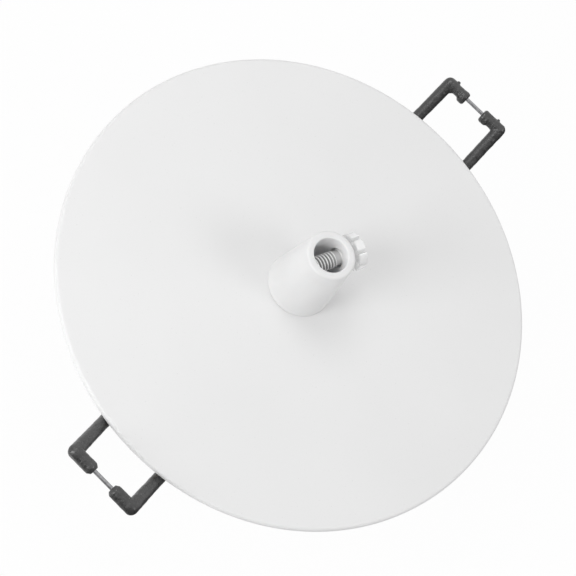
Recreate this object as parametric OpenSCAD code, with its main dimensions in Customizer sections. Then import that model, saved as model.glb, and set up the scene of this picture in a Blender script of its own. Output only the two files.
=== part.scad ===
// Ceiling canopy for a pendant light: a flat round plate with a tapered cord grip,
// held in a ceiling hole by two sprung wire clips with rubber sleeves.
// The plate's back face lies in the plane z = 0 and the cord leaves along +Z.

/* [Plate] */
// Diameter of the plate
plate_d = 120; // [110:1:150]
// Thickness of the plate
plate_t = 1.5; // [1.2:0.1:2.5]
// Radius of the plate's rounded front edge
plate_edge_r = 0.8; // [0.3:0.1:1]

/* [Cord grip] */
// Outer diameter of the grip where it stands on the plate
grip_base_d = 16.4; // [15.6:0.1:19]
// Outer diameter of the grip at its tip
grip_tip_d = 12.2; // [11.8:0.1:14]
// Height of the grip above the plate
grip_h = 21; // [18:0.5:26]
// Diameter of the cord's way through the grip
cord_bore_d = 8.5; // [7:0.1:9]
// Rounding of the tip's outer edge
tip_round = 0.7; // [0.3:0.1:0.9]
// Chamfer at the mouth of the cord's way
mouth_chamfer = 0.5; // [0.2:0.1:0.7]
// Depth of the threaded socket in the grip's foot
socket_depth = 8; // [6:0.5:9]

/* [Grip screw] */
// Outer diameter of the grip screw's thread
screw_d = 4.1; // [3:0.1:4.5]
// Height of the screw's axis above the plate's front face
screw_up = 15.8; // [14.5:0.1:16.5]
// Direction in which the screw leaves the grip, from +X about +Z
screw_turn = -21; // [-60:1:60]
// Gap between the screw's end and the far wall of the cord's way
screw_end_gap = 0.6; // [0.3:0.1:2]
// Diameter of the screw's toothed head
knob_d = 9; // [7:0.1:10]
// Thickness of the screw's toothed head
knob_t = 2.3; // [1.5:0.1:4]
// Gap between the head's inner face and the grip, at the nearest point
knob_gap = 0.2; // [0.1:0.1:1]
// Number of teeth round the head
knob_teeth = 8; // [6:1:12]
// Width of the slots between the teeth
knob_slot_w = 1; // [0.6:0.1:1.4]
// Depth of the slots between the teeth
knob_slot_depth = 1.3; // [0.8:0.1:1.6]
// Turn of the first slot about the screw's axis
knob_phase = 20; // [0:1:60]

/* [Nipple and nut] */
// Outer diameter of the hollow threaded nipple
nipple_d = 10; // [9.5:0.1:11]
// Inner diameter of the nipple
nipple_bore_d = 8; // [6.5:0.1:8.2]
// Length of nipple that stands out past the nut
nipple_past = 2; // [1:0.5:6]
// Width of the nut across its flats
nut_af = 14; // [13:0.5:15]
// Thickness of the nut
nut_t = 4; // [3:0.5:6]
// Outer diameter of the toothed lock washer
lock_d = 15.6; // [14.5:0.1:16]
// Thickness of the lock washer
lock_t = 0.9; // [0.6:0.1:1.5]
// Number of teeth round the lock washer
lock_teeth = 12; // [8:1:16]

/* [Spring bracket] */
// Distance between the coil axes of the two clips
pivot_span = 81; // [76:1:84]
// Distance of the coil axes behind the plate
pivot_drop = 17.2; // [16.5:0.1:20]
// Thickness of the bracket's strip
strip_t = 1.5; // [1.2:0.1:2]
// Width of the bracket's strip
strip_w = 16; // [15:0.5:20]
// Width of the ear's neck, between the coils
neck_w = 7.6; // [6:0.2:8]
// Inner radius of the bends
bend_r = 1; // [0.8:0.1:2]
// Height of the lugs that carry the coils
lug_h = 4.2; // [3.4:0.1:4.4]
// Length of ear below the coils
foot_drop = 0.9; // [0.6:0.1:2]

/* [Spring clips] */
// Diameter of the spring wire
wire_d = 1; // [0.8:0.05:1.1]
// Diameter of the coils, from wire centre to wire centre
coil_d = 6.4; // [6.2:0.1:7]
// Whole turns of each coil
coil_turns = 4; // [3:1:4]
// Gap between the turns
turn_gap = 0.1; // [0.05:0.05:0.15]
// Distance between the two legs where they leave the coils
legs_apart = 18.5; // [18:0.1:19.5]
// Distance between the clip's two outer corners
loop_w = 17.5; // [16:0.1:19.5]
// How far the cross bar stands out past the plate's edge
clip_reach = 11.3; // [8:0.1:16]
// Bend radius of the wire at the corners
corner_r = 1; // [0.8:0.1:1.2]
// Lean of the right clip in its own plane
right_lean = 2.7; // [0:0.1:3]
// Lean of the left clip in its own plane
left_lean = 1.5; // [0:0.1:3]
// Shift of the left clip along its lugs
left_shift = -0.05; // [-0.35:0.05:0.35]

/* [Rubber sleeves] */
// Outer diameter of the sleeves
sleeve_d = 3.1; // [2.6:0.1:3.4]
// Inner diameter of the sleeves
sleeve_bore_d = 1.4; // [1.3:0.05:1.6]
// Bare wire between the sleeves, along the cross bar
bare_gap = 5.5; // [3:0.1:8]
// Bare wire between a coil and its sleeve, along the leg
leg_bare = 8; // [7:0.5:14]
// Rounding of the sleeves' outer corners
sleeve_corner_r = 1.3; // [0.8:0.1:1.6]
// Outer diameter of the right sleeves' flared ends on the cross bar
flare_d = 3.6; // [3.2:0.1:3.8]
// Length of the flare
flare_l = 2.2; // [1.5:0.1:2.5]
// Outer diameter at the tip of the left sleeves' tapered ends
taper_d = 2.2; // [1.9:0.1:2.4]
// Length of the taper
taper_l = 0.8; // [0.4:0.1:1.2]
// Gap between a sleeve and the plate's edge that it rests against
rim_gap = 0.3; // [0.3:0.05:0.6]

/* [Earth terminal] */
// Diameter of the earth screw
earth_d = 4; // [3:0.5:4]
// Diameter of the earth screw's head
earth_head_d = 7; // [6:0.1:7]
// Length of the earth screw under its head
earth_l = 5; // [4:0.5:6]
// Distance of the earth screw behind the plate
earth_drop = 6.9; // [6.8:0.1:7.2]
// Outer diameter of the earth washer
earth_washer_d = 7.8; // [7.2:0.1:7.8]
// Thickness of the earth washer
earth_washer_t = 0.8; // [0.5:0.1:1]

/* [Hidden] */
$fn = 64;

thread_gap = 0.03;
screw_gap = 0.05;
eps = 0.01;

plate_r = plate_d / 2;
grip_foot_r = grip_base_d / 2;
grip_tip_r = grip_tip_d / 2;
bore_r = cord_bore_d / 2;
nipple_r = nipple_d / 2;
socket_r = nipple_r + thread_gap;
nipple_end_gap = 0.4;
nipple_chamfer = 0.5;

screw_r = screw_d / 2;
screw_z = plate_t + screw_up;
screw_start = -bore_r + screw_end_gap;
screw_point = 0.5;
lead_in = 0.4;
knob_r = knob_d / 2;
knob_bevel = 0.35;
taper = (grip_foot_r - grip_tip_r) / grip_h;
// The grip is widest, within the head's height, at the head's lowest point
knob_start = grip_foot_r - taper * (screw_up - knob_r) + knob_gap;

nut_top = -strip_t - lock_t;
nipple_bottom = nut_top - nut_t - nipple_past;

pivot_x = pivot_span / 2;
pivot_z = -pivot_drop;
wire_r = wire_d / 2;
coil_r = coil_d / 2;
sleeve_r = sleeve_d / 2;
leg_y = legs_apart / 2;
loop_y = loop_w / 2;

// The leg leaves the coil at its top and clears the plate's back edge by rim_gap
rim_x = sqrt(plate_r * plate_r - leg_y * leg_y);
rim_away = norm([rim_x - pivot_x, pivot_drop]);
leg_angle = atan2(pivot_drop, rim_x - pivot_x) - asin((coil_r + sleeve_r + rim_gap) / rim_away);
leg_l = (plate_r + clip_reach - pivot_x + coil_r * sin(leg_angle)) / cos(leg_angle);

// The coil's tail hooks behind the ear, and the coil winds from it to the leg
tail_past = 3.2;
tail_rise = coil_r + tail_past;
tail_gap = 0.1;
hook_l = 2.6;
hook_bend = 0.9;
hook_at = [-(strip_t / 2 + wire_r + tail_gap), tail_rise];
hook_away = norm(hook_at);
tail_phi = atan2(hook_at[1], hook_at[0]) - acos(coil_r / hook_away) - leg_angle;
coil_sweep = tail_phi + 360 * coil_turns - 90;
coil_pitch = wire_d + turn_gap;
coil_in_y = leg_y - coil_pitch * coil_sweep / 360;
coil_out_y = leg_y + wire_r;

lug_play = 0.5;
lug_end = 0.8;
lug_lip = 0.25;
ear_foot_z = pivot_z - coil_r - wire_r - foot_drop;
shoulder_gap = 0.7;
ear_shoulder_z = pivot_z + tail_rise + wire_r + shoulder_gap;
ear_shoulder_h = 3;
ear_corner = 1.2;

wire_sides = 8;
sleeve_sides = 16;
turn_steps = 16;
corner_steps = 5;
sleeve_corner_steps = 10;
sleeve_round = 0.25;
flare_step = 0.4;
inner_round = 0.15;
wire_side = [0.1, 0.2, 1];

function unit(v) = v / norm(v);

// Points along the rounding that joins the lines a-b and b-c
function rounding(a, b, c, r, steps) =
    let (
        d1 = unit(b - a),
        d2 = unit(c - b),
        turn = acos(d1 * d2),
        inward = unit(d2 - (d2 * d1) * d1),
        start = b - r * tan(turn / 2) * d1
    )
    [for (i = [0:steps])
        let (w = turn * i / steps)
        start + r * (sin(w) * d1 + (1 - cos(w)) * inward)];

function backwards(p) = [for (i = [len(p) - 1:-1:0]) p[i]];

function tangents(p) =
    [for (i = [0:len(p) - 1]) unit(p[min(i + 1, len(p) - 1)] - p[max(i - 1, 0)])];

function carried(side, along) = unit(side - (side * along) * along);

// Side vectors that follow the path without twisting
function side_vectors(t, first) =
    [for (i = 0, u = carried(first, t[0]);
        i < len(t);
        u = carried(u, t[min(i + 1, len(t) - 1)]), i = i + 1) u];

module swept_wire(path, r) {
    n = wire_sides;
    last = len(path) - 1;
    t = tangents(path);
    u = side_vectors(t, wire_side);
    points = [
        for (i = [0:last])
            let (v = cross(t[i], u[i]))
            for (k = [0:n - 1]) path[i] + r * (cos(360 * k / n) * u[i] + sin(360 * k / n) * v)
    ];
    walls = [
        for (i = [0:last - 1])
            for (k = [0:n - 1])
                let (m = (k + 1) % n)
                [i * n + k, (i + 1) * n + k, (i + 1) * n + m, i * n + m]
    ];
    start_cap = [for (k = [0:n - 1]) k];
    end_cap = [for (k = [n - 1:-1:0]) last * n + k];
    polyhedron(points, concat(walls, [start_cap, end_cap]));
}

// The clip's own frame: x along the legs, y along the coil axis, origin on the coil axis

function in_clip_frame(x, y, z) =
    [x * cos(leg_angle) + z * sin(leg_angle), y, z * cos(leg_angle) - x * sin(leg_angle)];

function loop_corner(s, lean) =
    [leg_l * cos(lean) - s * loop_y * sin(lean), leg_l * sin(lean) + s * loop_y * cos(lean), coil_r];

function loop_middle(lean) = (loop_corner(1, lean) + loop_corner(-1, lean)) / 2;

function leg_start(s) = [0, s * leg_y, coil_r];

// One half of the wire, from its hooked end through the coil to the cross bar
function half_wire(s, lean) =
    let (
        steps = round(coil_sweep / 360 * turn_steps),
        hook_corner = in_clip_frame(hook_at[0], s * coil_in_y, hook_at[1]),
        hook_tip = hook_corner - [0, s * hook_l, 0],
        coil_start = [coil_r * cos(tail_phi), s * coil_in_y, coil_r * sin(tail_phi)]
    )
    concat(
        [hook_tip],
        rounding(hook_tip, hook_corner, coil_start, hook_bend, corner_steps),
        [for (i = [0:steps])
            let (w = tail_phi - coil_sweep * i / steps)
            [coil_r * cos(w), s * (coil_in_y + (leg_y - coil_in_y) * i / steps), coil_r * sin(w)]],
        rounding(leg_start(s), loop_corner(s, lean), loop_middle(lean), corner_r, corner_steps)
    );

module clip_wire(lean) {
    swept_wire(concat(half_wire(1, lean), backwards(half_wire(-1, lean))), wire_r);
}

// How far the outer wall of a bend reaches from its pivot, in the direction phi
// from the first limb's side, where the bend turns by turn and its corner is rounded
function corner_reach(phi, turn, width, rounding_r) =
    let (
        c = width - rounding_r,
        far = c / cos(turn / 2),
        along = c * tan(turn / 2),
        toward = far * cos(phi - turn / 2)
    )
    width * tan(phi) <= along ? width / cos(phi)
    : width * tan(turn - phi) <= along ? width / cos(turn - phi)
    : toward + sqrt(toward * toward - far * far + rounding_r * rounding_r);

// Rings of a bent hose. Each is its middle, its half width in the bend's plane and its radius.
// Stations along a limb are pairs: distance from the limb's end, and radius.
function hose_rings(leg_end, corner, bar_end, leg_stations, bar_stations, r, rounding_r) =
    let (
        along_leg = unit(corner - leg_end),
        along_bar = unit(bar_end - corner),
        leg_side = unit(along_leg * (along_leg * along_bar) - along_bar),
        bar_side = unit(along_leg - along_bar * (along_leg * along_bar)),
        turn = acos(leg_side * bar_side),
        pivot = corner - (r + inner_round) * (leg_side + bar_side) / (1 + cos(turn))
    )
    concat(
        [for (s = leg_stations) [leg_end + s[0] * along_leg, s[1] * leg_side, s[1]]],
        [for (i = [0:sleeve_corner_steps])
            let (
                phi = turn * i / sleeve_corner_steps,
                d = (sin(turn - phi) * leg_side + sin(phi) * bar_side) / sin(turn),
                reach = corner_reach(phi, turn, 2 * r + inner_round, rounding_r)
            )
            [pivot + (reach + inner_round) / 2 * d, (reach - inner_round) / 2 * d, r]],
        [for (s = bar_stations) [bar_end - s[0] * along_bar, s[1] * bar_side, s[1]]]
    );

function skin_points(rings, up) =
    [for (g = rings)
        for (k = [0:sleeve_sides - 1])
            g[0] + cos(360 * k / sleeve_sides) * g[1] + sin(360 * k / sleeve_sides) * g[2] * up];

function skin_faces(count, first) =
    [for (i = [0:count - 2])
        for (k = [0:sleeve_sides - 1])
            let (
                m = (k + 1) % sleeve_sides,
                near = first + i * sleeve_sides,
                next = near + sleeve_sides
            )
            [near + k, next + k, next + m, near + m]];

// A hose whose outer and inner skins are given by their rings
module hose(outer, inner, up) {
    n = sleeve_sides;
    bore = len(outer) * n;
    outer_end = bore - n;
    inner_end = bore + (len(inner) - 1) * n;
    outside = skin_faces(len(outer), 0);
    inside = [for (f = skin_faces(len(inner), bore)) [f[3], f[2], f[1], f[0]]];
    start_face = [for (k = [0:n - 1]) let (m = (k + 1) % n) [k, m, bore + m, bore + k]];
    end_face = [
        for (k = [0:n - 1])
            let (m = (k + 1) % n)
            [outer_end + m, outer_end + k, inner_end + k, inner_end + m]
    ];
    polyhedron(
        concat(skin_points(outer, up), skin_points(inner, up)),
        concat(outside, inside, start_face, end_face)
    );
}

module sleeve(s, lean, bar_stations, bore_stations) {
    corner = loop_corner(s, lean);
    middle = loop_middle(lean);
    leg_end = leg_start(s) + leg_bare * unit(corner - leg_start(s));
    bar_end = middle - bare_gap / 2 * unit(middle - corner);
    bore_r = sleeve_bore_d / 2;
    leg_stations = [[0, sleeve_r - sleeve_round], [sleeve_round, sleeve_r]];
    color("#3d3d40")
        hose(
            hose_rings(leg_end, corner, bar_end, leg_stations, bar_stations, sleeve_r, sleeve_corner_r),
            hose_rings(leg_end, corner, bar_end, [[0, bore_r]], bore_stations, bore_r, bore_r),
            [0, 0, s]
        );
}

// The right sleeves end in a flare with a widened bore
module flared_sleeve(s) {
    flare_r = flare_d / 2;
    bore_r = sleeve_bore_d / 2;
    sleeve(
        s, right_lean,
        [
            [flare_l, sleeve_r], [flare_l - flare_step, flare_r],
            [sleeve_round, flare_r], [0, flare_r - sleeve_round]
        ],
        [[2 * sleeve_round, bore_r], [0, bore_r + sleeve_round]]
    );
}

// The left sleeves taper towards the bare wire
module tapered_sleeve(s) {
    sleeve(s, left_lean, [[taper_l, sleeve_r], [0, taper_d / 2]], [[0, sleeve_bore_d / 2]]);
}

module at_right_clip() {
    translate([pivot_x, 0, pivot_z])
        rotate([0, -leg_angle, 0])
            children();
}

module at_left_clip() {
    rotate([0, 0, 180])
        translate([0, left_shift, 0])
            at_right_clip()
                children();
}

module along_screw() {
    translate([0, 0, screw_z])
        rotate([0, 90, screw_turn])
            children();
}

module canopy_plate() {
    e = plate_edge_r;
    hole_r = nipple_r + screw_gap;
    color("#f2f2f1")
        rotate_extrude($fn = 160) {
            translate([hole_r, 0])
                square([plate_r - e - hole_r, plate_t]);
            translate([hole_r, 0])
                square([plate_r - hole_r, plate_t - e]);
            translate([plate_r - e, plate_t - e])
                circle(r = e);
        }
}

module grip_profile() {
    // The sloping wall runs from the foot to where it meets the tip's rounding
    centre = [grip_tip_r - tip_round, grip_h - tip_round];
    across = centre - [grip_foot_r, 0];
    wall = atan2(across[1], across[0]) - asin(tip_round / norm(across));
    meet = centre + tip_round * [cos(wall - 90), sin(wall - 90)];
    polygon([
        [socket_r, 0], [grip_foot_r, 0], meet, centre, [centre[0], grip_h],
        [bore_r + mouth_chamfer, grip_h], [bore_r, grip_h - mouth_chamfer],
        [bore_r, socket_depth + socket_r - bore_r], [socket_r, socket_depth]
    ]);
    translate(centre)
        circle(r = tip_round);
}

module cord_grip() {
    hole_r = screw_r + screw_gap;
    color("#f4f4f3")
        difference() {
            translate([0, 0, plate_t])
                rotate_extrude()
                    grip_profile();
            along_screw()
                cylinder(h = grip_foot_r, r = hole_r);
            // Lead-in at the hole's inner end
            along_screw()
                translate([0, 0, bore_r - lead_in])
                    cylinder(h = 2 * lead_in, r1 = hole_r + 2 * lead_in, r2 = hole_r);
        }
}

module knob_outline() {
    difference() {
        circle(r = knob_r);
        for (i = [0:knob_teeth - 1])
            rotate(knob_phase + i * 360 / knob_teeth)
                translate([knob_r - knob_slot_depth, -knob_slot_w / 2])
                    square([2 * knob_slot_depth, knob_slot_w]);
    }
}

module knob_envelope() {
    b = knob_bevel;
    rotate_extrude()
        polygon([
            [0, 0], [knob_r - b, 0], [knob_r, b],
            [knob_r, knob_t - b], [knob_r - b, knob_t], [0, knob_t]
        ]);
}

module grip_screw() {
    shank_l = knob_start - screw_start;
    color("#e8eef0", 0.6)
        along_screw() {
            translate([0, 0, screw_start])
                rotate_extrude()
                    polygon([
                        [0, 0], [screw_r - screw_point, 0], [screw_r, screw_point],
                        [screw_r, shank_l + eps], [0, shank_l + eps]
                    ]);
            translate([0, 0, knob_start])
                intersection() {
                    knob_envelope();
                    linear_extrude(knob_t)
                        knob_outline();
                }
        }
}

module threaded_nipple() {
    top = plate_t + socket_depth - nipple_end_gap;
    c = nipple_chamfer;
    color("#c9b26b")
        rotate_extrude()
            polygon([
                [nipple_bore_d / 2, nipple_bottom], [nipple_r - c, nipple_bottom],
                [nipple_r, nipple_bottom + c], [nipple_r, top - c],
                [nipple_r - c, top], [nipple_bore_d / 2, top]
            ]);
}

module lock_washer() {
    tooth_depth = 1.6;
    notch_w = 1.8;
    color("#b9bcc0")
        translate([0, 0, nut_top])
            linear_extrude(lock_t)
                difference() {
                    circle(d = lock_d);
                    circle(r = nipple_r + screw_gap);
                    for (i = [0:lock_teeth - 1])
                        rotate(i * 360 / lock_teeth)
                            translate([lock_d / 2 - tooth_depth, -notch_w / 2])
                                square([2 * tooth_depth, notch_w]);
                }
}

module nipple_nut() {
    corner = nut_af / 2 / cos(30);
    chamfer = 0.8;
    drop = chamfer * tan(30);
    color("#c4c7ca")
        translate([0, 0, nut_top - nut_t])
            difference() {
                intersection() {
                    cylinder(h = nut_t, r = corner, $fn = 6);
                    rotate_extrude()
                        polygon([
                            [0, 0], [corner - chamfer, 0], [corner, drop],
                            [corner, nut_t - drop], [corner - chamfer, nut_t], [0, nut_t]
                        ]);
                }
                translate([0, 0, -eps])
                    cylinder(h = nut_t + 2 * eps, r = nipple_r + thread_gap);
            }
}

// The ear as cut from the strip, drawn in the plane of y and z
module ear_outline() {
    w = strip_w / 2;
    n = neck_w / 2;
    lug_y = coil_out_y + lug_play;
    polygon([
        [-w, -strip_t - bend_r], [-w, ear_shoulder_z + ear_shoulder_h], [-n, ear_shoulder_z],
        [-n, ear_foot_z + ear_corner], [ear_corner - n, ear_foot_z],
        [n - ear_corner, ear_foot_z], [n, ear_foot_z + ear_corner],
        [n, ear_shoulder_z], [w, ear_shoulder_z + ear_shoulder_h], [w, -strip_t - bend_r]
    ]);
    for (s = [-1, 1]) {
        translate([s * lug_y / 2, pivot_z])
            square([lug_y, lug_h], center = true);
        translate([s * (lug_y + lug_end / 2), pivot_z])
            square([lug_end, lug_h + 2 * lug_lip], center = true);
    }
}

module bracket_end() {
    outer_r = bend_r + strip_t;
    bend_x = pivot_x + strip_t / 2 - outer_r;
    translate([0, -strip_w / 2, -strip_t])
        cube([bend_x, strip_w, strip_t]);
    translate([bend_x, strip_w / 2, -outer_r])
        rotate([90, 0, 0])
            rotate_extrude(angle = 90)
                translate([bend_r, 0])
                    square([strip_t, strip_w]);
    translate([pivot_x - strip_t / 2, 0, 0])
        rotate([90, 0, 90])
            linear_extrude(strip_t)
                ear_outline();
}

module spring_bracket() {
    color("#b4b8bc")
        difference() {
            union() {
                bracket_end();
                rotate(180)
                    bracket_end();
            }
            translate([0, 0, -strip_t - eps])
                cylinder(h = strip_t + 2 * eps, r = nipple_r + screw_gap);
            translate([-pivot_x - strip_t, 0, -earth_drop])
                rotate([0, 90, 0])
                    cylinder(h = 2 * strip_t, d = earth_d + 2 * screw_gap);
        }
}

module at_earth() {
    translate([-pivot_x - strip_t / 2, 0, -earth_drop])
        rotate([0, -90, 0])
            children();
}

module earth_washer() {
    color("#c8b36a")
        at_earth()
            linear_extrude(earth_washer_t)
                difference() {
                    circle(d = earth_washer_d);
                    circle(d = earth_d + 4 * screw_gap);
                }
}

module earth_screw() {
    head_h = 2.4;
    dome = 0.8;
    recess_w = 1;
    recess_l = 4;
    recess_depth = 1.5;
    color("#c8b36a")
        at_earth()
            translate([0, 0, earth_washer_t])
                difference() {
                    union() {
                        translate([0, 0, -earth_l])
                            cylinder(h = earth_l + eps, d = earth_d);
                        rotate_extrude()
                            polygon([
                                [0, 0], [earth_head_d / 2, 0], [earth_head_d / 2, head_h - dome],
                                [earth_head_d / 2 - dome, head_h], [0, head_h]
                            ]);
                    }
                    for (turn = [0, 90])
                        rotate(turn)
                            translate([-recess_l / 2, -recess_w / 2, head_h - recess_depth])
                                cube([recess_l, recess_w, 2 * recess_depth]);
                }
}

module right_spring() {
    color("#8f9294")
        at_right_clip()
            clip_wire(right_lean);
}

module left_spring() {
    color("#8f9294")
        at_left_clip()
            clip_wire(left_lean);
}

module right_sleeve_rear() {
    at_right_clip()
        flared_sleeve(1);
}

module right_sleeve_front() {
    at_right_clip()
        flared_sleeve(-1);
}

module left_sleeve_rear() {
    at_left_clip()
        tapered_sleeve(-1);
}

module left_sleeve_front() {
    at_left_clip()
        tapered_sleeve(1);
}

canopy_plate();
cord_grip();
grip_screw();
threaded_nipple();
lock_washer();
nipple_nut();
spring_bracket();
earth_screw();
earth_washer();
right_spring();
right_sleeve_rear();
right_sleeve_front();
left_spring();
left_sleeve_rear();
left_sleeve_front();
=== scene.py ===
import math

import bpy
from mathutils import Matrix, Vector


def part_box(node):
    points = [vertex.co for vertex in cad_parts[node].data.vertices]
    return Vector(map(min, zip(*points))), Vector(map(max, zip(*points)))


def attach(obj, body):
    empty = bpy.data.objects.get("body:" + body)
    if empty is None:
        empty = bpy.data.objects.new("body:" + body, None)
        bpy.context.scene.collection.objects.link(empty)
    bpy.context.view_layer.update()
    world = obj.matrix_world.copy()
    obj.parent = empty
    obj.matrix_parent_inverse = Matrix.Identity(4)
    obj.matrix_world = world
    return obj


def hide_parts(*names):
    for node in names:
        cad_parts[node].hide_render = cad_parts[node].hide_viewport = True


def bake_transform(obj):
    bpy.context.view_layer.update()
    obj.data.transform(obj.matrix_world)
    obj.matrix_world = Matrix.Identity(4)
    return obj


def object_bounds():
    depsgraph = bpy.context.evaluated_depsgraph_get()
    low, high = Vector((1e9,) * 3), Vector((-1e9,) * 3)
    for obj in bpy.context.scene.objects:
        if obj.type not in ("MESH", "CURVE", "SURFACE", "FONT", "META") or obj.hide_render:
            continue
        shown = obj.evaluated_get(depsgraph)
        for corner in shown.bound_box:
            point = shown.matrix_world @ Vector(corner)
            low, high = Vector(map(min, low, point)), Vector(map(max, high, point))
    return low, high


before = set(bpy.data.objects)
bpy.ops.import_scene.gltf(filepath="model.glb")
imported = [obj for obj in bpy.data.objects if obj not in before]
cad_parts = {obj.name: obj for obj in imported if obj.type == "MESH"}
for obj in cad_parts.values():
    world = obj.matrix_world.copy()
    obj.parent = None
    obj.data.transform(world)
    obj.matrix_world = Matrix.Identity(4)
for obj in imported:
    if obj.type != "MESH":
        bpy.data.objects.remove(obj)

cad_box = [list(corner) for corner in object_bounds()]

# A ceiling canopy for a pendant cord. Its solids are replaced, one by one, by finished pieces
# that keep their places. Lengths are in millimetres, unless a comment says otherwise, and are
# made metres with MM.
MM = 0.001
SAME_PLACE = 0.001 * MM
TURN_STEPS = 192
FINE_STEPS = 96
HOSE_STEPS = 48

# Camera: where it stands, which way is right and up in its view, and how wide it sees
CAMERA_PLACE = Vector((-199.208, 3.215, 370.733)) * MM
VIEW_RIGHT = Vector((0.63725, -0.69060, 0.34204))
VIEW_UP = Vector((0.61139, 0.72323, 0.32117))
VIEW_ANGLE = math.radians(18.80)

# Plate and cord grip, in millimetres as in the solids
plate_low, plate_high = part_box("canopy_plate")
PLATE_R = plate_high.x / MM
PLATE_T = plate_high.z / MM
PLATE_EDGE_R = 0.8
PLATE_BACK_R = 0.15
PLATE_HOLE_R = 5.05
GRIP_H = 21
GRIP_FOOT_R = 8.2
GRIP_TIP_R = 6.1
GRIP_TIP_ROUND = 0.7
CORD_BORE_R = 4.25
MOUTH_ROUND = 0.32
SOCKET_R = 5.03
SOCKET_DEPTH = 8

# Clear thumb screw
SCREW_Z = PLATE_T + 15.8
SCREW_TURN = math.radians(-21)
SCREW_R = 2.05
SCREW_START = -3.65
SCREW_CHAMFER = 0.5
THREAD_DEPTH = 0.58
THREAD_PITCH = 0.80
THREAD_END = 2.4
RELIEF_R = 1.82
SHOULDER = 3.92
KNOB_START = 7.3
KNOB_R = 4.5
KNOB_T = 2.3
KNOB_EASE = 0.25
KNOB_DISH = 0.3
KNOB_TEETH = 8
KNOB_SLOT_W = 1.0
KNOB_SLOT_DEPTH = 1.3
KNOB_PHASE = math.radians(20)

# Hollow nipple behind the plate
NIPPLE_BORE_R = 4.0
NIPPLE_THREAD_DEPTH = 0.55
NIPPLE_PITCH = 1.0
NIPPLE_CHAMFER = 0.6
NIPPLE_EASE = 0.2

# Spring clips. Each turns about its coils' axis, which lies at PIVOT_X and PIVOT_Z. The legs
# leave the coils at LEG_Y, the cross bar's corners lie at LOOP_Y, and each coil's tail hooks
# behind the bracket's strip.
PIVOT_X = 40.5
PIVOT_Z = -17.2
WIRE_R = 0.5
COIL_R = 3.2
COIL_TURNS = 4
COIL_PITCH = 1.1
COIL_STEPS = 36
LEG_Y = 9.25
LOOP_Y = 8.75
CLIP_REACH = 11.3
CORNER_R = 1.0
STRIP_T = 1.5
TAIL_RISE = COIL_R + 3.2
HOOK_L = 2.6
HOOK_BEND = 0.9
LEFT_SHIFT = -0.05
RIGHT_LEAN = math.radians(2.7)
LEFT_LEAN = math.radians(1.5)

# Rubber sleeves: LEG_BARE and BARE_GAP are the bare wire by the coil and between two sleeves
SLEEVE_R = 1.55
SLEEVE_BORE_R = 0.7
RIM_GAP = 0.3
LEG_BARE = 8
BARE_GAP = 5.5
WEB_R = 1.42
SKIN_GRAIN = 0.13
LUMP_SIZE = 1.3
LUMP_HEIGHT = 0.16

# Room, with the floor's size in metres
FLOOR_SIZE = 6
FLOOR_GLOW = 0.95
ROOM_LIGHT = 0.60


# Small tools of the bench

def pick(piece):
    """Leaves only this piece selected and active."""
    bpy.ops.object.select_all(action="DESELECT")
    piece.select_set(True)
    bpy.context.view_layer.objects.active = piece


def edit(piece):
    """Opens this piece in edit mode, with all of it selected."""
    pick(piece)
    bpy.ops.object.mode_set(mode="EDIT")
    bpy.ops.mesh.select_all(action="SELECT")


def done():
    """Leaves edit mode."""
    bpy.ops.object.mode_set(mode="OBJECT")


def apply_modifier(piece, kind, **settings):
    pick(piece)
    modifier = piece.modifiers.new(kind, kind)
    for setting, value in settings.items():
        setattr(modifier, setting, value)
    bpy.ops.object.modifier_apply(modifier=modifier.name)


def cut(piece, tool, operation="DIFFERENCE"):
    """Cuts the tool out of the piece, or joins or intersects them, and throws the tool away."""
    apply_modifier(piece, "BOOLEAN", operation=operation, object=tool, solver="EXACT")
    bpy.data.objects.remove(tool)


def soften(piece, width, segments=2, angle=40):
    """Eases the edges that are sharper than the angle, by a width in millimetres."""
    apply_modifier(
        piece, "BEVEL", width=width * MM, segments=segments,
        limit_method="ANGLE", angle_limit=math.radians(angle), harden_normals=False,
    )


def shade(piece, angle=35):
    """Shades the piece smooth, apart from edges that are sharper than the angle."""
    pick(piece)
    bpy.ops.object.shade_smooth_by_angle(angle=math.radians(angle))


def settle(piece, matrix):
    """Sets the piece down at a place of the model, and leaves its object at the origin."""
    piece.matrix_world = matrix
    pick(piece)
    bpy.ops.object.transform_apply(location=True, rotation=True, scale=True)


def chain(name, points):
    """A bare line of edges through points given in millimetres."""
    bpy.ops.object.select_all(action="DESELECT")
    bpy.ops.mesh.primitive_plane_add(size=MM)
    line = bpy.context.object
    line.name = name
    edit(line)
    bpy.ops.mesh.merge(type="CENTER")
    bpy.ops.transform.translate(value=Vector(points[0]) * MM)
    for a, b in zip(points, points[1:]):
        step = (Vector(b) - Vector(a)) * MM
        bpy.ops.mesh.extrude_region_move(TRANSFORM_OT_translate={"value": step})
    done()
    return line


def turned(name, outline, closed=True, steps=TURN_STEPS):
    """A solid turned about Z from an outline of radius and height."""
    points = [(r, 0, z) for r, z in outline]
    piece = chain(name, points + points[:1] if closed else points)
    edit(piece)
    bpy.ops.mesh.remove_doubles(threshold=SAME_PLACE)
    bpy.ops.mesh.spin(steps=steps, angle=math.tau, center=(0, 0, 0), axis=(0, 0, 1))
    bpy.ops.mesh.select_all(action="SELECT")
    bpy.ops.mesh.remove_doubles(threshold=SAME_PLACE)
    bpy.ops.mesh.normals_make_consistent(inside=False)
    done()
    return piece


def arc(centre, radius, start, end, steps):
    """Points of radius and height along an arc, from one angle in degrees to another."""
    return [
        (centre[0] + radius * math.cos(math.radians(start + (end - start) * i / steps)),
         centre[1] + radius * math.sin(math.radians(start + (end - start) * i / steps)))
        for i in range(steps + 1)
    ]


def fill_ends():
    """Closes the open ends of what is open in edit mode, and points its faces outwards."""
    bpy.ops.mesh.select_all(action="DESELECT")
    bpy.ops.mesh.select_non_manifold()
    bpy.ops.mesh.fill_holes(sides=0)
    bpy.ops.mesh.select_all(action="SELECT")
    bpy.ops.mesh.normals_make_consistent(inside=False)


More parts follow.
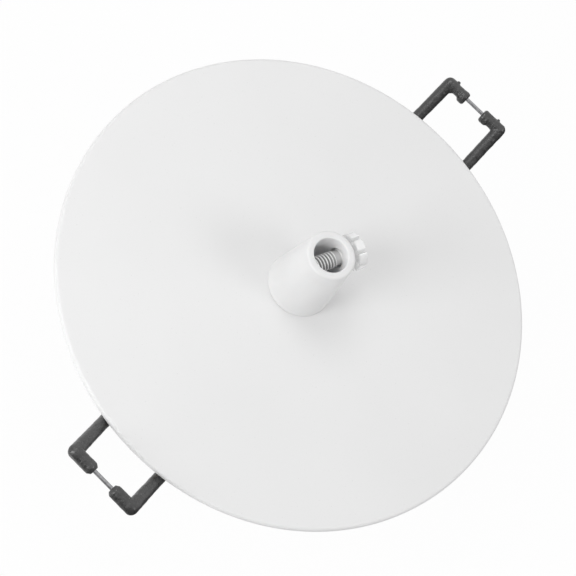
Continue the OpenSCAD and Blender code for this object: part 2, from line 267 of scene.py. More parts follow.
def close_ends(piece):
    edit(piece)
    fill_ends()
    done()


def thread(name, crest_r, depth, pitch, low, high):
    """A rod with a thread from one height to the other, run on past both of them."""
    run_on = 1.5
    turns = math.ceil((high - low) / pitch + 2 * run_on)
    start = low - run_on * pitch
    root_r = crest_r - depth
    rise_and_share = [
        (0, 0), (0, 0.10), (0.25, 0.19), (0.82, 0.31), (1, 0.39),
        (1, 0.61), (0.82, 0.69), (0.25, 0.81), (0, 0.90), (0, 1),
    ]
    tooth = [
        (root_r + rise * depth, 0, start + share * pitch) for rise, share in rise_and_share
    ]
    rod = chain(name, tooth)
    apply_modifier(
        rod, "SCREW", axis="Z", angle=math.tau, screw_offset=pitch * MM, iterations=turns,
        steps=FINE_STEPS, render_steps=FINE_STEPS,
        use_merge_vertices=True, merge_threshold=SAME_PLACE,
    )
    edit(rod)
    bpy.ops.mesh.remove_doubles(threshold=SAME_PLACE)
    fill_ends()
    done()
    return rod


def copy_of(name, node):
    """A merged copy of a solid, its flat faces whole again, ready for its edges to be eased."""
    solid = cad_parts[node]
    piece = bpy.data.objects.new(name, solid.data.copy())
    bpy.context.scene.collection.objects.link(piece)
    edit(piece)
    bpy.ops.mesh.remove_doubles(threshold=SAME_PLACE)
    bpy.ops.mesh.dissolve_limited(angle_limit=math.radians(0.5))
    done()
    return piece


def wire(name, points, radius, sides):
    """A round wire or hose through points in metres, with a radius in millimetres."""
    bpy.ops.object.select_all(action="DESELECT")
    bpy.ops.curve.primitive_nurbs_path_add()
    line = bpy.context.object
    curve = line.data
    curve.splines.clear()
    spline = curve.splines.new("POLY")
    spline.points.add(len(points) - 1)
    for point, place in zip(spline.points, points):
        point.co = (*place, 1)
        point.radius = radius
    curve.dimensions = "3D"
    curve.twist_mode = "MINIMUM"
    curve.bevel_depth = MM
    curve.bevel_resolution = sides // 4
    curve.use_fill_caps = False
    pick(line)
    bpy.ops.object.convert(target="MESH")
    piece = bpy.context.object
    piece.name = name
    piece.data.name = name
    return piece


# Finishes

class Nodes:
    """A tree whose nodes are laid one by one."""

    def __init__(self, tree):
        self.tree = tree

    def add(self, kind, **inputs):
        node = self.tree.nodes.new(kind)
        for name, value in inputs.items():
            self.feed(node, name.replace("_", " "), value)
        return node

    def feed(self, node, socket, value):
        """Links another node's output to a socket, or sets the socket to a plain value."""
        if isinstance(value, bpy.types.NodeSocket):
            self.tree.links.new(value, node.inputs[socket])
        else:
            node.inputs[socket].default_value = value

    def spread(self, value, low, high, to_low=0, to_high=1):
        """Stretches a value's range from low and high to the two others, and stops it there."""
        found = self.add(
            "ShaderNodeMapRange", Value=value, From_Min=low, From_Max=high,
            To_Min=to_low, To_Max=to_high,
        )
        return found.outputs["Result"]

    def operate(self, kind, operation, *values):
        """A math node of either kind, fed with its values in turn."""
        node = self.tree.nodes.new(kind)
        node.operation = operation
        for socket, value in enumerate(values):
            self.feed(node, socket, value)
        return node

    def times(self, first, second):
        return self.operate("ShaderNodeMath", "MULTIPLY", first, second).outputs["Value"]

    def larger(self, first, second):
        return self.operate("ShaderNodeMath", "MAXIMUM", first, second).outputs["Value"]

    def length(self, vector):
        return self.operate("ShaderNodeVectorMath", "LENGTH", vector).outputs["Value"]

    def ray(self, kind):
        """1 for a ray of this kind, and 0 for the others."""
        return self.add("ShaderNodeLightPath").outputs[f"Is {kind} Ray"]

    def seen_directly(self):
        """1 for what the camera sees, straight or by reflection or through clear plastic."""
        straight_or_reflected = self.larger(self.ray("Camera"), self.ray("Glossy"))
        return self.larger(straight_or_reflected, self.ray("Transmission"))

    def in_reflections(self, value):
        """The value for what is seen by reflection, and 1 for the rest."""
        return self.spread(self.ray("Glossy"), 0, 1, 1, value)


class Finish(Nodes):
    """A material, with the nodes that finishes need."""

    def __init__(self, name):
        self.material = bpy.data.materials.new(name)
        self.material.use_nodes = True
        super().__init__(self.material.node_tree)
        self.shader = self.tree.nodes["Principled BSDF"]
        self.place = self.add("ShaderNodeTexCoord").outputs["Object"]

    def set(self, **inputs):
        for name, value in inputs.items():
            self.feed(self.shader, name.replace("_", " "), value)

    def noise(self, scale, detail, place=None):
        texture = self.add(
            "ShaderNodeTexNoise", Scale=scale, Detail=detail, Vector=place or self.place,
        )
        return texture.outputs["Fac"]

    def stretched(self, scale):
        mapping = self.add("ShaderNodeMapping", Vector=self.place, Scale=scale)
        return mapping.outputs["Vector"]

    def mix(self, factor, first, second):
        """A colour between two others."""
        node = self.tree.nodes.new("ShaderNodeMix")
        node.data_type = "RGBA"
        self.feed(node, 0, factor)
        self.feed(node, 6, first)
        self.feed(node, 7, second)
        return node.outputs[2]

    def either(self, factor, first, second):
        """A surface between two others."""
        node = self.tree.nodes.new("ShaderNodeMixShader")
        for socket, value in enumerate((factor, first, second)):
            self.feed(node, socket, value)
        return node.outputs["Shader"]

    def relief(self, height, depth, under=None):
        """Bumps as deep as this in millimetres, laid over others."""
        bump = self.add("ShaderNodeBump", Height=height, Distance=depth * MM, Strength=1)
        if under is not None:
            self.feed(bump, "Normal", under)
        return bump.outputs["Normal"]


def grey(value):
    """A neutral colour, with its alpha."""
    return (value, value, value, 1)


def powder_coat():
    """Baked white powder with a fine orange-peel skin and a few faint specks."""
    f = Finish("white_powder_coat")
    peel = f.noise(1500, 3)
    swell = f.noise(240, 2)
    tone = f.spread(f.noise(22, 2), 0.3, 0.7)
    specks = f.spread(f.noise(2600, 1), 0.72, 0.78)
    coat = f.mix(tone, grey(0.795), grey(0.82))
    f.set(
        Base_Color=f.mix(specks, coat, grey(0.71)),
        Roughness=f.spread(swell, 0.3, 0.7, 0.40, 0.50),
        Normal=f.relief(peel, 0.02, under=f.relief(swell, 0.01)),
        Specular_IOR_Level=0.4,
    )
    return f.material


def white_plastic():
    """Moulded nylon: whiter and smoother than the plate, with a little light inside it, and
    painted light on the wall of the cord's way.
    """
    f = Finish("white_plastic")
    grain = f.noise(1800, 2)
    flow = f.noise(120, 2)
    skin = f.mix(f.spread(flow, 0.3, 0.7), grey(0.78), grey(0.805))
    flat = f.operate("ShaderNodeVectorMath", "MULTIPLY", f.place, (1, 1, 0))
    from_axis = f.length(flat.outputs["Vector"])
    # Painted light: the wall of the cord's way is coloured whiter, to stand in for the light that
    # reaches it
    painted_bore_light = f.spread(from_axis, (CORD_BORE_R + 0.05) * MM, (CORD_BORE_R + 0.15) * MM, 1, 0)
    f.set(
        Base_Color=f.mix(painted_bore_light, skin, grey(0.92)),
        Roughness=f.spread(grain, 0.3, 0.7, 0.28, 0.36),
        Normal=f.relief(grain, 0.006),
        Subsurface_Weight=0.30,
        Subsurface_Radius=(0.0024, 0.0022, 0.0021),
    )
    return f.material


def clear_plastic():
    """Clear moulded plastic, a little milky, with painted shade that makes it darker down in the
    thread and on its plain neck.
    """
    f = Finish("clear_plastic")
    ripple = f.noise(500, 2)
    in_screw = f.add(
        "ShaderNodeMapping", Vector=f.place,
        Location=(0, 0, SCREW_Z * MM), Rotation=(0, 0, SCREW_TURN),
    )
    in_screw.vector_type = "TEXTURE"
    parts = f.add("ShaderNodeSeparateXYZ", Vector=in_screw.outputs["Vector"])
    along = parts.outputs["X"]
    across = f.add("ShaderNodeCombineXYZ", Y=parts.outputs["Y"], Z=parts.outputs["Z"])
    from_axis = f.length(across.outputs["Vector"])
    # Painted shade: 1 down in the thread and 0 on its crests, less where it runs out, and 0 past
    # the shoulder; it darkens the colour in the thread's roots and on the plain neck
    depth = f.spread(from_axis, RELIEF_R * MM, (SCREW_R - 0.06) * MM, 1, 0)
    run_out = f.spread(along, (THREAD_END - 1.5) * MM, THREAD_END * MM, 1, 0.62)
    threaded = f.spread(along, SHOULDER * MM, (SHOULDER + 0.06) * MM, 1, 0)
    painted_thread_shade = f.times(depth, f.times(run_out, threaded))
    skin = f.mix(f.spread(ripple, 0.3, 0.7), grey(0.96), grey(0.99))
    f.set(
        Base_Color=f.mix(painted_thread_shade, skin, grey(0.36)),
        Roughness=f.spread(f.noise(1400, 2), 0.3, 0.7, 0.14, 0.22),
        Normal=f.relief(ripple, 0.008),
        Transmission_Weight=0.08,
        IOR=1.42,
        Subsurface_Weight=f.spread(threaded, 0, 1, 0.6, 0.05),
        Subsurface_Radius=(0.002, 0.002, 0.002),
        Coat_Weight=0.7,
        Coat_Roughness=0.1,
    )
    return f.material


def plated_steel():
    """Bright zinc on rolled strip: faint rolling lines and cloudy patches."""
    f = Finish("zinc_steel")
    clouds = f.noise(130, 4)
    rolling = f.noise(1, 3, place=f.stretched((250, 3800, 3800)))
    f.set(
        Base_Color=f.mix(
            f.spread(clouds, 0.3, 0.7), (0.52, 0.53, 0.55, 1), (0.66, 0.67, 0.69, 1),
        ),
        Metallic=1.0,
        Roughness=f.spread(clouds, 0.3, 0.7, 0.26, 0.40),
        Normal=f.relief(rolling, 0.008),
    )
    return f.material


def brass():
    """Turned brass, gone a little dull."""
    f = Finish("brass")
    tarnish = f.noise(420, 4)
    f.set(
        Base_Color=f.mix(
            f.spread(tarnish, 0.35, 0.7), (0.72, 0.53, 0.25, 1), (0.50, 0.35, 0.15, 1),
        ),
        Metallic=1.0,
        Roughness=f.spread(tarnish, 0.3, 0.7, 0.22, 0.42),
        Normal=f.relief(f.noise(3000, 2), 0.004),
    )
    return f.material


def spring_steel():
    """Drawn spring wire: grey, with bright lines along it."""
    f = Finish("spring_wire")
    drawn = f.noise(900, 3)
    f.set(
        Base_Color=f.mix(
            f.spread(drawn, 0.3, 0.7), (0.27, 0.27, 0.28, 1), (0.42, 0.42, 0.43, 1),
        ),
        Metallic=1.0,
        Roughness=f.spread(drawn, 0.3, 0.7, 0.14, 0.26),
        Normal=f.relief(drawn, 0.006),
    )
    return f.material


def black_rubber():
    """Soft dark rubber, dusty in places, with a fine moulded grain."""
    f = Finish("black_rubber")
    grain = f.noise(2200, 3)
    lumps = f.noise(900, 3)
    dust = f.noise(260, 4)
    skin = f.mix(f.spread(lumps, 0.35, 0.7), grey(0.008), grey(0.025))
    f.set(
        Base_Color=f.mix(f.spread(dust, 0.45, 0.8, 0, 0.6), skin, grey(0.048)),
        Roughness=f.spread(grain, 0.3, 0.7, 0.24, 0.42),
        Normal=f.relief(grain, 0.015, under=f.relief(lumps, 0.05)),
        Specular_IOR_Level=0.9,
    )
    return f.material


FINISHES = {
    "white_powder_coat": powder_coat(),
    "white_plastic": white_plastic(),
    "clear_plastic": clear_plastic(),
    "zinc_steel": plated_steel(),
    "brass": brass(),
    "spring_wire": spring_steel(),
    "black_rubber": black_rubber(),
}


def dress(piece, slot, body, *nodes):
    """Gives a piece its finish, its body and the solids that it stands for."""
    piece.data.materials.clear()
    piece.data.materials.append(FINISHES[slot])
    if body:
        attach(piece, body)
    if nodes:
        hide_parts(*nodes)
    return piece


# Pieces

def make_plate():
    back = arc((PLATE_R - PLATE_BACK_R, PLATE_BACK_R), PLATE_BACK_R, 270, 360, 4)
    front_centre = (PLATE_R - PLATE_EDGE_R, PLATE_T - PLATE_EDGE_R)
    front = arc(front_centre, PLATE_EDGE_R, 0, 90, 10)
    hole_rim = PLATE_HOLE_R + 0.4
    plate = turned("round_plate", [
        (PLATE_HOLE_R, 0), (hole_rim, 0), (PLATE_R - 0.5, 0), *back, *front,
        (PLATE_R - PLATE_EDGE_R - 0.3, PLATE_T), (PLATE_R - PLATE_EDGE_R - 1, PLATE_T),
        (hole_rim, PLATE_T), (PLATE_HOLE_R, PLATE_T),
    ], steps=256)
    shade(plate)
    dress(plate, "white_powder_coat", "canopy", "canopy_plate")


def along_screw():
    """The thumb screw's axis, from the middle of the cord's way out to its head."""
    return (
        Matrix.Translation((0, 0, SCREW_Z * MM))
        @ Matrix.Rotation(SCREW_TURN, 4, "Z")
        @ Matrix.Rotation(math.pi / 2, 4, "Y")
    )


def make_grip():
    foot = PLATE_T + 0.02
    top = PLATE_T + GRIP_H
    socket_end = PLATE_T + SOCKET_DEPTH
    slope = math.degrees(math.atan2(GRIP_FOOT_R - GRIP_TIP_R, GRIP_H))
    tip = arc((GRIP_TIP_R - GRIP_TIP_ROUND, top - GRIP_TIP_ROUND), GRIP_TIP_ROUND, slope, 90, 8)
    mouth_r = CORD_BORE_R + MOUTH_ROUND
    mouth = arc((mouth_r, top - MOUTH_ROUND), MOUTH_ROUND, 90, 180, 5)
    grip = turned("cord_grip_body", [
        (SOCKET_R, foot), (GRIP_FOOT_R - 0.2, foot), (GRIP_FOOT_R, PLATE_T + 0.2),
        (GRIP_FOOT_R - 0.03, PLATE_T + 0.5), *tip, (mouth_r + 0.1, top), *mouth,
        (CORD_BORE_R, top - MOUTH_ROUND - 0.3),
        (CORD_BORE_R, socket_end + SOCKET_R - CORD_BORE_R), (SOCKET_R, socket_end),
    ])
    # The side hole is wider where it opens into the cord's way
    hole_r, pocket_r = SCREW_R + 0.05, SCREW_R + 0.36
    hole_start, pocket_end, hole_end = CORD_BORE_R - 2, CORD_BORE_R + 0.5, GRIP_FOOT_R + 2
    hole = turned("side_hole", [
        (0, hole_start), (pocket_r, hole_start), (pocket_r, pocket_end),
        (hole_r, pocket_end), (hole_r, hole_end), (0, hole_end),
    ], closed=False, steps=64)
    settle(hole, along_screw())
    cut(grip, hole)
    shade(grip, 30)
    dress(grip, "white_plastic", "canopy", "cord_grip")


def make_knob():
    """The toothed head: a disc with a dished face, slotted all round."""
    end = KNOB_START + KNOB_T
    knob = turned("toothed_head", [
        (0, KNOB_START), (KNOB_R - KNOB_EASE, KNOB_START), (KNOB_R, KNOB_START + KNOB_EASE),
        (KNOB_R, end - KNOB_EASE), (KNOB_R - KNOB_EASE, end), (KNOB_R - 2.1, end),
        (KNOB_R - 2.4, end - KNOB_DISH), (0, end - KNOB_DISH),
    ], closed=False, steps=FINE_STEPS)
    for tooth in range(KNOB_TEETH):
        turn = KNOB_PHASE + tooth * math.tau / KNOB_TEETH
        bpy.ops.object.select_all(action="DESELECT")
        bpy.ops.mesh.primitive_cube_add(size=1)
        slot = bpy.context.object
        slot.scale = (2 * KNOB_SLOT_DEPTH * MM, KNOB_SLOT_W * MM, 3 * KNOB_T * MM)
        slot.location = (KNOB_R * MM, 0, KNOB_START * MM)
        settle(slot, Matrix.Rotation(turn, 4, "Z") @ slot.matrix_basis)
        cut(knob, slot)
    soften(knob, 0.14, segments=3)
    return knob


def make_thumb_screw():
    into_knob = KNOB_START + 1
    screw = turned("clear_thumb_screw", [
        (0, SCREW_START), (SCREW_R - SCREW_CHAMFER, SCREW_START),
        (SCREW_R, SCREW_START + SCREW_CHAMFER), (SCREW_R, THREAD_END),
        (RELIEF_R, THREAD_END + 0.2), (RELIEF_R, SHOULDER), (SCREW_R - 0.03, SHOULDER + 0.27),
        (SCREW_R, SHOULDER + 0.33), (SCREW_R, into_knob), (0, into_knob),
    ], closed=False, steps=FINE_STEPS)
    rod = thread("cut_thread", SCREW_R, THREAD_DEPTH, THREAD_PITCH, SCREW_START, THREAD_END)
    # The plain part takes over where the thread ends, and leaves the shank there as it is
    plain_r = SCREW_R + 0.4
    plain = turned("plain_part", [
        (0, THREAD_END), (SCREW_R - THREAD_DEPTH, THREAD_END), (plain_r, THREAD_END + 0.6),
        (plain_r, into_knob + 1), (0, into_knob + 1),
    ], closed=False, steps=FINE_STEPS)
    cut(rod, plain, "UNION")
    cut(screw, rod, "INTERSECT")
    cut(screw, make_knob(), "UNION")
    settle(screw, along_screw())
    shade(screw, 32)
    dress(screw, "clear_plastic", "thumb_screw", "grip_screw")


def make_nipple():
    low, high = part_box("threaded_nipple")
    bottom, top, r = low.z / MM, high.z / MM, high.x / MM
    bore_rim = NIPPLE_BORE_R + NIPPLE_EASE
    body = turned("hollow_nipple", [
        (NIPPLE_BORE_R, bottom + NIPPLE_EASE), (bore_rim, bottom),
        (r - NIPPLE_CHAMFER, bottom), (r, bottom + NIPPLE_CHAMFER),
        (r, top - NIPPLE_CHAMFER), (r - NIPPLE_CHAMFER, top),
        (bore_rim, top), (NIPPLE_BORE_R, top - NIPPLE_EASE),
    ], steps=FINE_STEPS)
    rod = thread("nipple_thread", r, NIPPLE_THREAD_DEPTH, NIPPLE_PITCH, bottom, top)
    cut(body, rod, "INTERSECT")
    shade(body, 32)
    dress(body, "zinc_steel", "canopy", "threaded_nipple")


def make_fittings():
    """The small hidden fittings: piece, solid, finish and the width of its eased edges."""
    for name, node, slot, width in (
        ("strip_bracket", "spring_bracket", "zinc_steel", 0.18),
        ("toothed_lock_washer", "lock_washer", "zinc_steel", 0.1),
        ("hexagon_nut", "nipple_nut", "zinc_steel", 0.15),
        ("earth_screw_body", "earth_screw", "brass", 0.12),
        ("earth_washer_ring", "earth_washer", "brass", 0.12),
    ):
        piece = copy_of(name, node)
        soften(piece, width)
        shade(piece, 32)
        dress(piece, slot, "canopy", node)


# Spring clips: the path of the wire in the clip's own frame, in millimetres

def leg_angle():
    """How steeply a leg rises for its sleeves to stand just off the plate's back edge."""
    rim = Vector((math.sqrt(PLATE_R ** 2 - LEG_Y ** 2) - PIVOT_X, -PIVOT_Z))
    return math.atan2(rim.y, rim.x) - math.asin((COIL_R + SLEEVE_R + RIM_GAP) / rim.length)


LEG_ANGLE = leg_angle()
LEG_L = (PLATE_R + CLIP_REACH - PIVOT_X + COIL_R * math.sin(LEG_ANGLE)) / math.cos(LEG_ANGLE)
PIVOT = Matrix.Translation((PIVOT_X * MM, 0, PIVOT_Z * MM))
RIGHT_PLACE = PIVOT @ Matrix.Rotation(-LEG_ANGLE, 4, "Y")
OPPOSITE = Matrix.Rotation(math.pi, 4, "Z") @ Matrix.Translation((0, LEFT_SHIFT * MM, 0))
LEFT_PLACE = OPPOSITE @ RIGHT_PLACE

# Place, lean and body of each clip
RIGHT_CLIP = (RIGHT_PLACE, RIGHT_LEAN, "right_clip")
LEFT_CLIP = (LEFT_PLACE, LEFT_LEAN, "left_clip")

# The coil winds from its tail, which hooks behind the bracket's ear, to the leg
HOOK_X = -(STRIP_T / 2 + WIRE_R + 0.1)
HOOK_FAR = math.hypot(HOOK_X, TAIL_RISE)
TAIL_PHI = math.atan2(TAIL_RISE, HOOK_X) - math.acos(COIL_R / HOOK_FAR) - LEG_ANGLE
COIL_SWEEP = TAIL_PHI + math.tau * COIL_TURNS - math.pi / 2
COIL_IN_Y = LEG_Y - COIL_PITCH * COIL_SWEEP / math.tau


def rounding(a, b, c, radius, steps=12):
    """Points along the bend that joins the lines a-b and b-c."""
    first, second = (b - a).normalized(), (c - b).normalized()
    turn = first.angle(second)
    inward = (second - second.dot(first) * first).normalized()
    start = b - radius * math.tan(turn / 2) * first
    angles = [turn * i / steps for i in range(steps + 1)]
    return [
        start + radius * (math.sin(angle) * first + (1 - math.cos(angle)) * inward)
        for angle in angles
    ]


def in_clip_frame(x, y, z):
    """A point of the bracket, seen from the coil's axis along the legs."""
    return Vector((
        x * math.cos(LEG_ANGLE) + z * math.sin(LEG_ANGLE), y,
        z * math.cos(LEG_ANGLE) - x * math.sin(LEG_ANGLE),
    ))


def loop_corner(side, lean):
    """Where a leg's line meets the cross bar's."""
    return Vector((
        LEG_L * math.cos(lean) - side * LOOP_Y * math.sin(lean),
        LEG_L * math.sin(lean) + side * LOOP_Y * math.cos(lean), COIL_R,
    ))


def loop_middle(lean):
    return (loop_corner(1, lean) + loop_corner(-1, lean)) / 2


def leg_start(side):
    return Vector((0, side * LEG_Y, COIL_R))


def on_coil(side, share):
    """A point of the coil, from its tail's end at 0 to its leg's at 1."""
    angle = TAIL_PHI - COIL_SWEEP * share
    y = side * (COIL_IN_Y + (LEG_Y - COIL_IN_Y) * share)
    return Vector((COIL_R * math.cos(angle), y, COIL_R * math.sin(angle)))


def coil_path(side):
    """From the hooked tail round the coil to where the leg leaves it."""
    corner = in_clip_frame(HOOK_X, side * COIL_IN_Y, TAIL_RISE)
    tip = corner - Vector((0, side * HOOK_L, 0))
    hook = rounding(tip, corner, on_coil(side, 0), HOOK_BEND, 8)
    steps = round(COIL_SWEEP / math.tau * COIL_STEPS)
    return [tip, *hook, *(on_coil(side, i / steps) for i in range(steps + 1))]


def loop_path(lean):
    """From one leg's foot over the cross bar to the other's."""
    middle = loop_middle(lean)
    there, back = (
        [leg_start(side), *rounding(leg_start(side), loop_corner(side, lean), middle, CORNER_R)]
        for side in (1, -1)
    )
    return there + back[::-1]


def make_spring_wire(name, place, path, body, *nodes):
    """One stretch of a clip's wire along a path in millimetres."""
    piece = wire(name, [place @ (point * MM) for point in path], WIRE_R, 16)
    close_ends(piece)
    shade(piece, 50)
    return dress(piece, "spring_wire", body, *nodes)


def make_spring(name, place, lean, body, node):
    make_spring_wire(name + "_loop", place, loop_path(lean), body, node)
    for side, end in ((1, "first"), (-1, "second")):
        coil = make_spring_wire(f"{name}_{end}_coil", place, coil_path(side), None)
        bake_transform(coil)


def towards(point, direction):
    """Where a thing made along Z stands to point from here in this direction, in millimetres."""
    return Matrix.Translation(point * MM) @ direction.to_track_quat("Z", "X").to_matrix().to_4x4()


def merge(piece, *others):
    """Melts closed shapes that overlap into one skin of even small faces."""
    pick(piece)
    for other in others:
        other.select_set(True)
    bpy.ops.object.join()
    apply_modifier(piece, "REMESH", mode="VOXEL", voxel_size=SKIN_GRAIN * MM)


def ball(name, centre, radius):
    bpy.ops.object.select_all(action="DESELECT")
    bpy.ops.mesh.primitive_uv_sphere_add(segments=48, ring_count=24, radius=radius * MM)
    piece = bpy.context.object
    piece.name = name
    settle(piece, Matrix.Translation(centre * MM))
    return piece


def corner_block(corner, out_leg, out_bar, reach, corner_r):
    """A large block whose one upright edge is rounded, to round a hose's outer corner."""
    size = 60
    bpy.ops.object.select_all(action="DESELECT")
    bpy.ops.mesh.primitive_cube_add(size=size * MM)
    block = bpy.context.object
    edit(block)
    bpy.ops.mesh.select_mode(type="EDGE")
    bpy.ops.mesh.select_all(action="DESELECT")
    done()
    for edge in block.data.edges:
        ends = [block.data.vertices[v].co for v in edge.vertices]
        edge.select = all(end.x > 0 and end.y > 0 for end in ends)
    bpy.ops.object.mode_set(mode="EDIT")
    bpy.ops.mesh.bevel(offset=corner_r * MM, segments=10)
    bpy.ops.mesh.select_mode(type="VERT")
    done()
    x, y = out_bar, out_leg
    middle = corner + (reach - size / 2) * (x + y)
    turn = Matrix((x, y, x.cross(y))).transposed().to_4x4()
    settle(block, Matrix.Translation(middle * MM) @ turn)
    return block


class SleeveLine:
    """The corner of wire that a sleeve goes round: where it starts, turns and ends."""

    def __init__(self, side, lean):
        start, middle = leg_start(side), loop_middle(lean)
        self.corner = loop_corner(side, lean)
        self.along_leg = (self.corner - start).normalized()
        self.along_bar = (middle - self.corner).normalized()
        off_leg = self.along_leg * self.along_leg.dot(self.along_bar) - self.along_bar
        self.out_leg = off_leg.normalized()
        self.leg_end = start + LEG_BARE * self.along_leg
        self.bar_end = middle - BARE_GAP / 2 * self.along_bar


def sleeve_body(name, line, style):
    """Both limbs and a round elbow, melted together, with the outer corner rounded off."""
    leg_l = (line.corner - line.leg_end).length
    bar_l = (line.bar_end - line.corner).length
    elbow_r, waist_r = style["elbow_r"], style["waist_r"]
    sleeve = turned(name, [
        (0, 0), (SLEEVE_R - 0.15, 0), (SLEEVE_R, 0.15), (SLEEVE_R, leg_l * 0.7),
        (elbow_r, leg_l - 1.5), (elbow_r, leg_l), (0, leg_l),
    ], closed=False, steps=HOSE_STEPS)
    settle(sleeve, towards(line.leg_end, line.along_leg))
    bar = turned("bar_part", [
        (0, 0), (style["tip_r"], 0), (waist_r, style["taper_l"]), (waist_r, bar_l - 2.4),
        (elbow_r, bar_l - 1.2), (elbow_r, bar_l), (0, bar_l),
    ], closed=False, steps=HOSE_STEPS)
    settle(bar, towards(line.bar_end, -line.along_bar))
    elbow = ball("elbow", line.corner, elbow_r)
    web = ball("web", line.corner - style["web_in"] * (line.along_leg + line.out_leg), WEB_R)
    merge(sleeve, bar, elbow, web)
    block = corner_block(
        line.corner, line.out_leg, line.along_leg, style["reach"], style["corner_r"],
    )
    cut(sleeve, block, "INTERSECT")
    return sleeve


def add_collar(sleeve, line, style):
    """The flared collar at the cross bar's end, and the nub that its mould leaves."""
    r, length = style["collar_r"], style["collar_l"]
    collar = turned("collar", [
        (0, 0.05), (r - 0.5, 0.05), (r - 0.12, 0.3), (r, 0.8), (r - 0.05, length - 0.5),
        (r - 0.45, length), (0, length),
    ], closed=False, steps=HOSE_STEPS)
    collar_end = line.bar_end - style["collar_shift"] * line.along_leg
    settle(collar, towards(collar_end, -line.along_bar))
    nub = turned(
        "nub", [(0, 0), (0.42, 0), (0.36, 0.45), (0.2, 0.55), (0, 0.55)],
        closed=False, steps=24,
    )
    skin = (style["elbow_r"] - 0.15) * line.along_leg
    settle(nub, towards(line.corner + style["nub_at"] * line.along_bar + skin, line.along_leg))
    merge(sleeve, collar, nub)


def bore_out(sleeve, line):
    """Cuts the wire's way out of the sleeve, right through both its ends."""
    before, after = line.leg_end - line.along_leg, line.bar_end + line.along_bar
    path = [before, *rounding(before, line.corner, after, CORNER_R), after]
    bore = wire("bore", [point * MM for point in path], SLEEVE_BORE_R, 24)
    close_ends(bore)
    cut(sleeve, bore)


def make_sleeve(name, place, lean, body, node, side, style):
    line = SleeveLine(side, lean)
    sleeve = sleeve_body(name, line, style)
    if "collar_r" in style:
        add_collar(sleeve, line, style)
    else:
        merge(sleeve)
    bore_out(sleeve, line)
    apply_modifier(sleeve, "SMOOTH", factor=0.5, iterations=style["softness"])
    lumps = bpy.data.textures.new(name + "_lumps", "CLOUDS")
    lumps.noise_scale = LUMP_SIZE * MM
    apply_modifier(
        sleeve, "DISPLACE", texture=lumps, texture_coords="LOCAL",
        strength=LUMP_HEIGHT * MM, mid_level=0.5,
    )
    settle(sleeve, place)
    # No lump stands out past the solids' box along x
    for vertex in sleeve.data.vertices:
        vertex.co.x = min(max(vertex.co.x, cad_box[0][0]), cad_box[1][0])
    shade(sleeve, 60)
    dress(sleeve, "black_rubber", body, node)


# Forms of the sleeves, in millimetres. The outer corner stands out from the wire's corner by
# reach, and is rounded by corner_r. The ball that fills the inner corner lies web_in inside it.
# The cross bar's limb has the radius waist_r, and ends with tip_r after a taper. A collar hangs
# collar_shift inwards, and its nub stands nub_at from the corner. Softness is rounds of smoothing.
REAR_COLLAR = {
    "elbow_r": 1.6, "reach": 1.62, "corner_r": 1.9, "web_in": 0.85, "softness": 4,
    "waist_r": 1.45, "tip_r": 1.2, "taper_l": 0.3,
    "collar_r": 1.82, "collar_l": 2.3, "collar_shift": 0.24, "nub_at": 1.55,
}
FRONT_COLLAR = {
    "elbow_r": 1.6, "reach": 1.62, "corner_r": 1.8, "web_in": 0.45, "softness": 4,
    "waist_r": 1.56, "tip_r": 1.2, "taper_l": 0.3,
    "collar_r": 1.70, "collar_l": 2.6, "collar_shift": 0.32, "nub_at": 1.75,
}
BLUNT = {
    "elbow_r": 1.64, "reach": 1.66, "corner_r": 1.7, "web_in": 0.55, "softness": 3,
    "waist_r": 1.64, "tip_r": 1.05, "taper_l": 0.8,
}


# Floor, light and camera

def make_stage():
    """A pale floor under the folded clips, which glows for the camera and is open from below."""
    fold_room = LEG_L + COIL_R + 2
    bpy.ops.object.select_all(action="DESELECT")
    bpy.ops.mesh.primitive_plane_add(
        size=FLOOR_SIZE, location=(0, 0, (PIVOT_Z - fold_room) * MM),
    )
    floor = bpy.context.object
    floor.name = "floor"
    f = Finish("pale_floor")
    f.set(Base_Color=grey(0.9), Roughness=0.9)
    # What the object reflects of the floor darkens from one side to the other
    place = f.add("ShaderNodeSeparateXYZ", Vector=f.place)
    darker_side = f.spread(place.outputs["Y"], -45 * MM, 10 * MM, 0.15, 1)
    glow = f.add("ShaderNodeEmission", Strength=f.in_reflections(darker_side))
    share = f.times(f.seen_directly(), FLOOR_GLOW)
    pale = f.either(share, f.shader.outputs["BSDF"], glow.outputs["Emission"])
    below = f.add("ShaderNodeNewGeometry").outputs["Backfacing"]
    clear = f.add("ShaderNodeBsdfTransparent").outputs["BSDF"]
    f.feed(f.tree.nodes["Material Output"], "Surface", f.either(below, pale, clear))
    floor.data.materials.append(f.material)


def make_world():
    """An even white room, whose reflections darken towards the foot of the view."""
    world = bpy.data.worlds.new("studio")
    bpy.context.scene.world = world
    world.use_nodes = True
    room = Nodes(world.node_tree)
    sky = room.tree.nodes["Background"]
    direction = room.add("ShaderNodeTexCoord").outputs["Generated"]
    height = room.operate("ShaderNodeVectorMath", "DOT_PRODUCT", direction, VIEW_UP)
    darker_foot = room.spread(height.outputs["Value"], -0.6, 0.3, 0.25, 1)
    level = room.spread(room.seen_directly(), 0, 1, ROOM_LIGHT, 1)
    room.feed(sky, "Color", grey(1))
    room.feed(sky, "Strength", room.times(level, room.in_reflections(darker_foot)))


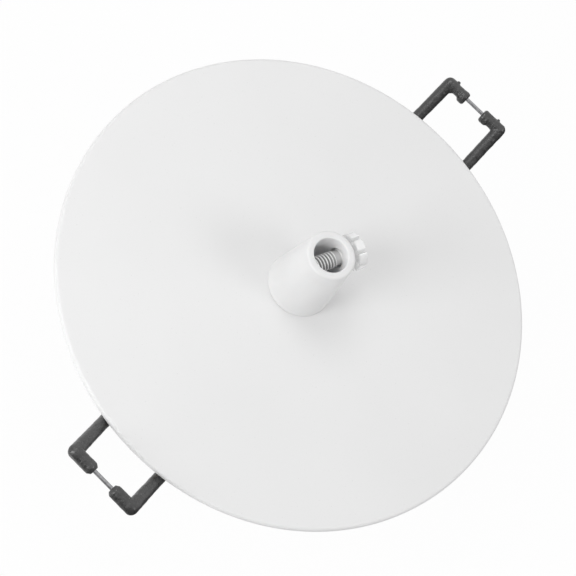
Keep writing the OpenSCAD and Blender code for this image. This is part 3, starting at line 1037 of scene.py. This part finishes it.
def make_lamp(name, direction, distance, size, power):
    """A soft square lamp in a direction of the view: right, up and towards the camera."""
    back = VIEW_RIGHT.cross(VIEW_UP)
    away = (direction[0] * VIEW_RIGHT + direction[1] * VIEW_UP + direction[2] * back).normalized()
    light = bpy.data.lights.new(name, "AREA")
    light.size = size
    light.energy = power
    lamp = bpy.data.objects.new(name, light)
    bpy.context.scene.collection.objects.link(lamp)
    lamp.location = away * distance
    lamp.rotation_euler = away.to_track_quat("Z", "Y").to_euler()


def make_camera():
    """The camera at the place and angle that the photograph was taken from."""
    camera = bpy.data.objects.new("camera", bpy.data.cameras.new("camera"))
    bpy.context.scene.collection.objects.link(camera)
    camera.data.angle = VIEW_ANGLE
    camera.data.clip_start = 0.01
    right = VIEW_RIGHT.normalized()
    back = right.cross(VIEW_UP).normalized()
    turn = Matrix((right, back.cross(right), back)).transposed()
    camera.matrix_world = Matrix.Translation(CAMERA_PLACE) @ turn.to_4x4()
    bpy.context.scene.camera = camera


make_camera()
make_stage()
make_world()
make_lamp("left_lamp", (-0.70, -0.10, 0.70), distance=0.5, size=0.20, power=0.68)
make_lamp("high_left_lamp", (-0.37, 0.03, 0.92), distance=0.6, size=0.20, power=0.40)
make_lamp("right_lamp", (0.83, -0.14, 0.54), distance=0.8, size=0.30, power=0.88)
make_lamp("top_lamp", (0.07, 0.69, 0.72), distance=0.38, size=0.168, power=0.243)

make_plate()
make_grip()
make_thumb_screw()
make_nipple()
make_fittings()
make_spring("right_wire", *RIGHT_CLIP, "right_spring")
make_spring("left_wire", *LEFT_CLIP, "left_spring")
make_sleeve("right_rubber_rear", *RIGHT_CLIP, "right_sleeve_rear", 1, REAR_COLLAR)
make_sleeve("right_rubber_front", *RIGHT_CLIP, "right_sleeve_front", -1, FRONT_COLLAR)
make_sleeve("left_rubber_rear", *LEFT_CLIP, "left_sleeve_rear", -1, BLUNT)
make_sleeve("left_rubber_front", *LEFT_CLIP, "left_sleeve_front", 1, BLUNT)

bpy.context.scene.view_settings.view_transform = "Standard"
